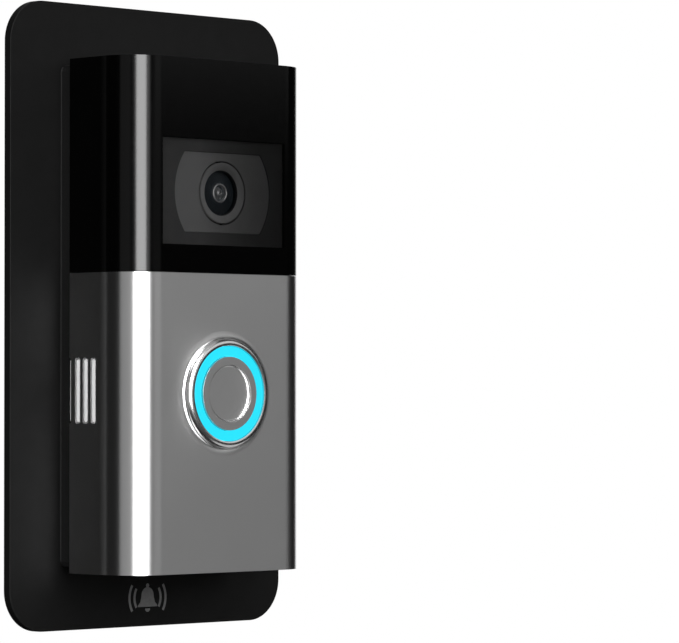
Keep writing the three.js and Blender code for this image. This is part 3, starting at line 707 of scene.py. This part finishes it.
def camera_cover():
    low, high = COVER_LOW.y, COVER_HIGH.y
    pocket = window_block(POCKET_GAP, (WINDOW_LOW.z - POCKET_BACK_GAP, FRONT + BEYOND))
    opening = window_block(-POCKET_LEDGE, (OPENING_BACK, FRONT + BEYOND))
    foot = common(
        upright(plan(SHELL_WALL - OVERLAP, 0), low, low + FOOT_HEIGHT),
        block(WIDE, (low - 1, low + 2), (FOOT_BACK, FRONT + BEYOND)),
    )
    shell = cut(
        upright(plan(0, SHELL_BACK), low, high),
        upright(plan(SHELL_WALL, 0), low - 1, high - END_WALL),
    )
    shell = cut(eased(join(shell, foot), COVER_EDGE), pocket, opening)
    place(shell, "camera_cover_shell", "unit", "gloss_black", ["camera_cover"])


def side_slots(x0, x1, clear, corner):
    """The speaker slots in the left wall, each smaller all round by the clearance."""
    length = SLOT_HIGH - SLOT_LOW - 2 * clear
    width = SLOT_WIDTH - 2 * clear
    middle = (SLOT_LOW + SLOT_HIGH) / 2
    return [
        sideways(rounded_rectangle(length, width, corner, middle, depth), x0, x1)
        for depth in SLOT_DEPTHS
    ]


def security_screw_holes():
    """The hole for the screw's shank and the wider one for its head, both upright."""
    screw_hole = cylinder(SCREW_HOLE, -5, 5, 32)
    head_hole = cylinder(HEAD_HOLE, -0.1, 2, 48)
    for hole, y in ((screw_hole, FACE_LOW.y), (head_hole, FACE_LOW.y + 1)):
        turn = Matrix.Rotation(math.pi / 2, 4, "X")
        hole.data.transform(Matrix.Translation((0, y, SECURITY_SCREW_DEPTH)) @ turn)
    return screw_hole, head_hole


def faceplate_pegs():
    """The pegs that locate the faceplate in the front chassis."""
    root = FRONT - SHELL_WALL + PEG_ROOT
    profile = [
        (0, PEG_BACK), (PEG_TIP_RADIUS, PEG_BACK), (PEG_RADIUS, PEG_BACK + PEG_TIP),
        (PEG_RADIUS, root), (0, root),
    ]
    return [turned(profile, 32, at=(x, y)) for x in (-PEG_X, PEG_X) for y in PEG_HEIGHTS]


def faceplate_collar():
    outer = COLLAR[0][0]
    inner = COLLAR[-1][0]
    crest = [(radius, FRONT + rise) for radius, rise in COLLAR[1:]]
    back = FRONT - SHELL_WALL
    return turned([(inner, back), (outer, back), (outer, FRONT - COLLAR_ROOT), *crest], at=BUTTON)


def faceplate():
    low, high = FACE_LOW.y, FACE_HIGH.y
    shell = cut(
        upright(plan(0, SHELL_BACK), low, high),
        upright(plan(SHELL_WALL, 0), low + END_WALL, high + 1),
        block((-EXIT_HALF, EXIT_HALF), (low - 1, low + 2), (0, EXIT_FRONT)),
        cylinder(BUTTON_HOLE, FRONT - BEYOND, FRONT + BEYOND, at=BUTTON),
        *security_screw_holes(),
        *side_slots(*SLOT_CUT, 0, SLOT_CORNER),
    )
    shell = join(eased(shell, FACE_EDGE), *faceplate_pegs(), faceplate_collar())
    place(shell, "faceplate_shell", "faceplate_assembly", "satin_nickel", ["faceplate"])


def speaker_mesh():
    back = -HALF_WIDTH + SHELL_WALL + MESH_GAP
    face = -HALF_WIDTH + RIB_SUNK
    rear = SHELL_BACK + MESH_EDGE_GAP
    sheet = block((back, back + MESH_THICKNESS), (MESH_LOW, MESH_HIGH), (rear, MESH_FRONT))
    blanks = side_slots(face, back + OVERLAP, RIB_CLEAR, RIB_CORNER)
    ribs = [eased(blank, RIB_EDGE, 2) for blank in blanks]
    behind = block(WIDE, (MESH_LOW - 1, MESH_HIGH + 1), (0, rear))
    made = cut(join(sheet, *ribs), behind)
    place(made, "speaker_mesh_sheet", "faceplate_assembly", "acoustic_mesh", ["speaker_mesh"])


# ------------------------------------------------------------------ mounting plate
def cutout_outline():
    """The plate's wiring cut-out, wide at both ends and narrow in the middle."""
    end, neck, shoulder = CUTOUT_END_HALF, CUTOUT_NECK_HALF, CUTOUT_SHOULDER
    left = [
        (-end, CUTOUT_TOP), (-end, shoulder), (-neck, shoulder),
        (-neck, -shoulder), (-end, -shoulder), (-end, CUTOUT_BOTTOM),
    ]
    right = [(-x, y) for x, y in reversed(left)]
    return rounded_polygon(left + right, CUTOUT_CORNER)


def mounting_plate():
    width, height = PLATE_HIGH.x - PLATE_LOW.x, PLATE_HIGH.y - PLATE_LOW.y
    thickness = PLATE_HIGH.z
    through = (-1, thickness + 1)
    slot = (PLATE_SLOT_WIDTH, PLATE_SLOT_LENGTH, PLATE_SLOT_CORNER)
    slots = [
        prism(rounded_rectangle(*slot, x, y), *through)
        for x in (-PLATE_SLOT_X, PLATE_SLOT_X)
        for y in PLATE_SLOT_HEIGHTS
    ]
    plate = cut(
        prism(rounded_rectangle(width, height, PLATE_CORNER, steps=ARC), 0, thickness),
        prism(cutout_outline(), *through),
        *slots,
    )
    place(eased(plate, PLATE_EDGE), "wall_plate", "unit", "plate_plastic", ["mounting_plate"])


# ------------------------------------------------------------------ button
def button_rim():
    outer = RIM_HIGH.x
    profile = [
        (0, RIM_LOW.z), (STEM_RADIUS, RIM_LOW.z), (STEM_RADIUS, WEB_BACK), (SKIRT_INNER, WEB_BACK),
        (SKIRT_INNER, SKIRT_BACK), (outer, SKIRT_BACK),
        *rounded_crest(SEAT_RADIUS, outer, RIM_HIGH.z, RIM_EDGE, 4),
        (SEAT_RADIUS, SEAT), (0, SEAT),
    ]
    place(turned(profile, at=BUTTON), "button_rim_ring", "button", "satin_nickel", ["button_rim"])


def button_disc():
    """The shallow dish in the button's middle."""
    edge, face, back = DISC_HIGH.x, DISC_HIGH.z, DISC_LOW.z
    parts = [i / DISH_STEPS for i in range(DISH_STEPS + 1)]
    bowl = [
        (edge - DISH_LIP - DISH_SLOPE * t, face - DISH_DEPTH * math.sin(t * math.pi / 2))
        for t in parts
    ]
    profile = [(0, back), (edge, back), (edge, face - DISH_EDGE), *bowl, (0, bowl[-1][1])]
    place(turned(profile, at=BUTTON), "button_dish", "button", "satin_nickel", ["button_disc"])


def light_ring():
    outer, top, low = LIGHT_HIGH.x, LIGHT_HIGH.z, LIGHT_LOW.z
    crest = rounded_crest(LIGHT_INNER, outer, top, LIGHT_EDGE, 6)
    ring = turned([(LIGHT_INNER, low), (outer, low), *crest], at=BUTTON)
    place(ring, "light_guide_ring", "unit", "light_ring", ["light_ring"])


def button_bezel():
    """The bright ring round the light, whose front is a round bead."""
    end = math.degrees(math.acos((BEAD_INNER - BEAD_CENTRE) / BEAD_RADIUS))
    bead = arc(BEAD_CENTRE, BEAD_LEVEL, BEAD_RADIUS, 0, end, 28)
    outer = BEAD_CENTRE + BEAD_RADIUS
    bezel = turned([(BEAD_INNER, BEZEL_BACK), (outer, BEZEL_BACK), *bead], at=BUTTON)
    place(bezel, "button_bezel_ring", "unit", "polished_nickel", ["button_bezel"])


# ------------------------------------------------------------------ camera
def shade_blank(grow, low, high):
    """The shade's outline, a circle cut flat above and below, as a solid."""
    flats = block((-20, 20), (SHADE_LOW.y - grow, SHADE_HIGH.y + grow), (low - 1, high + 1))
    return common(cylinder(SHADE_RADIUS + grow, low, high, at=EYE), flats)


def camera_window():
    pane = window_block(PANE_LAP, (WINDOW_LOW.z, FRONT - PANE_SUNK))
    place(pane, "smoked_pane", "unit", "smoked_window", ["camera_window"])


def pane_print():
    """The print on the back of the pane, with an opening in front of the shade."""
    back = WINDOW_LOW.z
    sheet = window_block(0, (back - PRINT_GAP - PRINT_THICKNESS, back - PRINT_GAP))
    sheet = cut(sheet, shade_blank(PRINT_CLEAR, back - 2, back + 2))
    place(sheet, "pane_print", "unit", "shade_grey", look="window_print")


def lens_shade():
    low, high = SHADE_LOW.z, SHADE_HIGH.z
    hole = cylinder(SHADE_HOLE, low - 1, high + 1, at=EYE)
    shade = eased(cut(shade_blank(0, low, high), hole), SHADE_EDGE)
    place(shade, "lens_shade_plate", "unit", "shade_grey", ["lens_shade"])


def lens_ring():
    front = RING_HIGH.z
    funnel = below(front, RING_FUNNEL)
    profile = [(RING_INNER, RING_LOW.z), (RING_OUTER, RING_LOW.z), (RING_OUTER, front - RING_EDGE), *funnel]
    ring = turned(profile, at=EYE)
    place(ring, "lens_ring_fine", "unit", "shade_grey", ["lens_ring"], look="ring_grey")


def bowed(radius, depth):
    """Height of the front element's outer surface, or of one parallel to it underneath."""
    return CROWN - depth - DOME_BOW + math.sqrt(DOME_BOW**2 - radius**2)


def lens_dome():
    radii = [DOME_RADIUS * (1 - i / DOME_STEPS) for i in range(DOME_STEPS + 1)]
    under = [(radius, bowed(radius, DOME_THICKNESS)) for radius in reversed(radii)]
    over = [(radius, bowed(radius, 0)) for radius in radii]
    dome = turned(under + over, at=EYE)
    place(dome, "lens_dome", "unit", "lens_glass", ["lens_front_element"])


def lens_barrel():
    profile = [
        (BARREL_INNER, BARREL_BACK), (BARREL_OUTER, BARREL_BACK),
        (BARREL_OUTER, BARREL_TOP), (BARREL_INNER, BARREL_TOP),
    ]
    place(turned(profile, at=EYE), "lens_barrel_tube", "unit", "barrel_black", ["lens_barrel"])


def lens_baffle():
    """Fine steps just under the front element."""
    steps = []
    for i in range(BAFFLE_STEPS):
        outer = BAFFLE_RADIUS - BAFFLE_STEP * i
        inner = outer - BAFFLE_TREAD
        foot = inner - BAFFLE_RISER
        steps += [
            (outer, bowed(outer, BAFFLE_OUTER_DROP)),
            (inner, bowed(outer, BAFFLE_INNER_DROP)),
            (foot, bowed(outer, BAFFLE_STEP_DROP)),
        ]
    profile = [(0, BAFFLE_BACK), (BAFFLE_RADIUS, BAFFLE_BACK), *steps, (0, BAFFLE_FLOOR)]
    place(turned(profile, at=EYE), "lens_baffle_rings", "unit", "shade_grey", look="baffle_grey")


def lens_iris():
    """The rounded rim and the small cone seen deep in the lens."""
    level = CROWN - IRIS_RIM_DROP
    rim = [
        (IRIS_RIM + IRIS_RIM_HALF * c, level + IRIS_RIM_RISE * s)
        for c, s in arc(0, 0, 1, 0, 180, 12)
    ]
    outer = IRIS_RIM + IRIS_RIM_HALF
    profile = [(0, IRIS_BACK), (outer, IRIS_BACK), *rim, *below(CROWN, IRIS_CENTRE)]
    iris = turned(profile, at=EYE)
    place(iris, "lens_iris", "unit", "lens_glass", ["lens_inner_element"], look="iris_metal")


# ------------------------------------------------------------------ bell mark on the plate
def sound_arc(radius, middle):
    start, end = middle - SOUND_HALF_ANGLE, middle + SOUND_HALF_ANGLE
    outer = arc(0, 0, radius + SOUND_HALF_WIDTH, start, end, 16)
    inner = arc(0, 0, radius - SOUND_HALF_WIDTH, end, start, 16)
    return outer + inner


def bell_mark():
    """A plain bell between two pairs of sound arcs, pad-printed on the plate's lower margin."""
    left_skirt = [(-x, y) for x, y in BELL_SKIRT]
    dome = arc(0, BELL_DOME_LEVEL, BELL_DOME_RADIUS, 180, 0, 20)
    shapes = [
        left_skirt + dome + BELL_SKIRT[::-1],
        arc(0, KNOB_LEVEL, KNOB_RADIUS, 0, 345, 23),
        arc(0, CLAPPER_LEVEL, CLAPPER_RADIUS, 180, 360, 16),
    ]
    shapes += [sound_arc(radius, middle) for radius in SOUND_RADII for middle in (0, 180)]
    low, high = PLATE_HIGH.z - MARK_SUNK, PLATE_HIGH.z + MARK_RISE
    parts = [prism([(MARK[0] + x, MARK[1] + y) for x, y in shape], low, high) for shape in shapes]
    place(join(*parts), "bell_mark", "unit", "shade_grey", look="mark_ink")


# ------------------------------------------------------------------ CAD nodes that keep their own shape
def dress_cad_nodes():
    slots = {row["node"]: row["material_slot"] for row in frame["record"]["subparts"]}
    for name, node in frame["nodes"].items():
        if node.hide_render:
            continue
        node.data.materials.clear()
        node.data.materials.append(MATERIALS[slots[name]])
        flat = node.modifiers.new("flat", "DECIMATE")
        flat.decimate_type = "DISSOLVE"
        flat.angle_limit = math.radians(FLAT_ANGLE)
        edge = node.modifiers.new("edges", "BEVEL")
        edge.width = KEPT_EDGE * MM
        edge.segments = 2
        edge.limit_method = "ANGLE"
        edge.angle_limit = math.radians(KEPT_ANGLE)


# ------------------------------------------------------------------ studio
def add_camera():
    data = bpy.data.cameras.new("camera")
    data.lens = LENS_MM
    data.sensor_width = SENSOR_MM
    data.clip_start = 0.05
    data.clip_end = 50
    made = link("camera", data)
    made.location = CAMERA_PLACE
    made.rotation_euler = (math.radians(90 + CAMERA_PITCH), 0, math.radians(-CAMERA_YAW))
    bpy.context.scene.camera = made


def soft_light(name, location, rotation, width, height, radiance):
    """A rectangular light that the camera doesn't see, shining along its own -Z."""
    data = bpy.data.lights.new(name, "AREA")
    data.shape = "RECTANGLE"
    data.size = width
    data.size_y = height
    data.energy = radiance * math.pi * width * height
    made = link(name, data)
    made.location = location
    made.rotation_euler = rotation
    made.visible_camera = False
    made.visible_diffuse = name not in ONLY_REFLECTED
    made.visible_glossy = name not in NOT_REFLECTED


def panel(name, azimuth, elevation, distance, width, height, radiance):
    """A soft light aimed at the doorbell."""
    a, e = math.radians(azimuth), math.radians(elevation)
    away = Vector((-math.sin(a) * math.cos(e), -math.cos(a) * math.cos(e), math.sin(e)))
    rotation = away.to_track_quat("Z", "Y").to_euler()
    soft_light(name, OBJECT_CENTRE + away * distance, rotation, width, height, radiance)


def add_lights():
    for name, values in PANELS.items():
        panel(name, *values)
    # one more shines straight down, and lights only the floor
    size = FLOOR_WASH_SIZE
    soft_light("floor_wash", FLOOR_WASH_PLACE, (0, 0, 0), size, size, FLOOR_WASH_RADIANCE)


def add_world():
    """White to the camera, and a faint glow to everything else."""
    world = bpy.data.worlds.new("studio")
    bpy.context.scene.world = world
    world.use_nodes = True
    nodes, links = world.node_tree.nodes, world.node_tree.links
    nodes.clear()
    output = nodes.new("ShaderNodeOutputWorld")
    mix = nodes.new("ShaderNodeMixShader")
    seen = nodes.new("ShaderNodeBackground")
    lit = nodes.new("ShaderNodeBackground")
    seen.inputs["Color"].default_value = (1, 1, 1, 1)
    lit.inputs["Color"].default_value = (*grey(WORLD_GLOW), 1)
    path = nodes.new("ShaderNodeLightPath")
    links.new(path.outputs["Is Camera Ray"], mix.inputs["Fac"])
    links.new(lit.outputs[0], mix.inputs[1])
    links.new(seen.outputs[0], mix.inputs[2])
    links.new(mix.outputs[0], output.inputs["Surface"])


def add_floor():
    bm = bmesh.new()
    bmesh.ops.create_circle(bm, cap_ends=True, radius=FLOOR_RADIUS, segments=96)
    mesh = bpy.data.meshes.new("floor")
    bm.to_mesh(mesh)
    bm.free()
    floor = link("floor", mesh)
    floor.location = (0, 0, FLOOR_LEVEL)
    s = Shader("floor", roughness=0.9)
    s.mottle(grey(0.82), grey(0.84), 0.005)
    mesh.materials.append(s.material)
    # it throws nothing back on to the doorbell
    floor.visible_diffuse = False
    floor.visible_glossy = False


# ------------------------------------------------------------------ build
add_camera()
mounting_plate()
camera_cover()
faceplate()
speaker_mesh()
button_rim()
button_disc()
light_ring()
button_bezel()
camera_window()
pane_print()
lens_shade()
lens_ring()
lens_dome()
lens_barrel()
lens_baffle()
lens_iris()
bell_mark()
dress_cad_nodes()
add_world()
add_floor()
add_lights()
bpy.context.scene.view_settings.view_transform = "Standard"
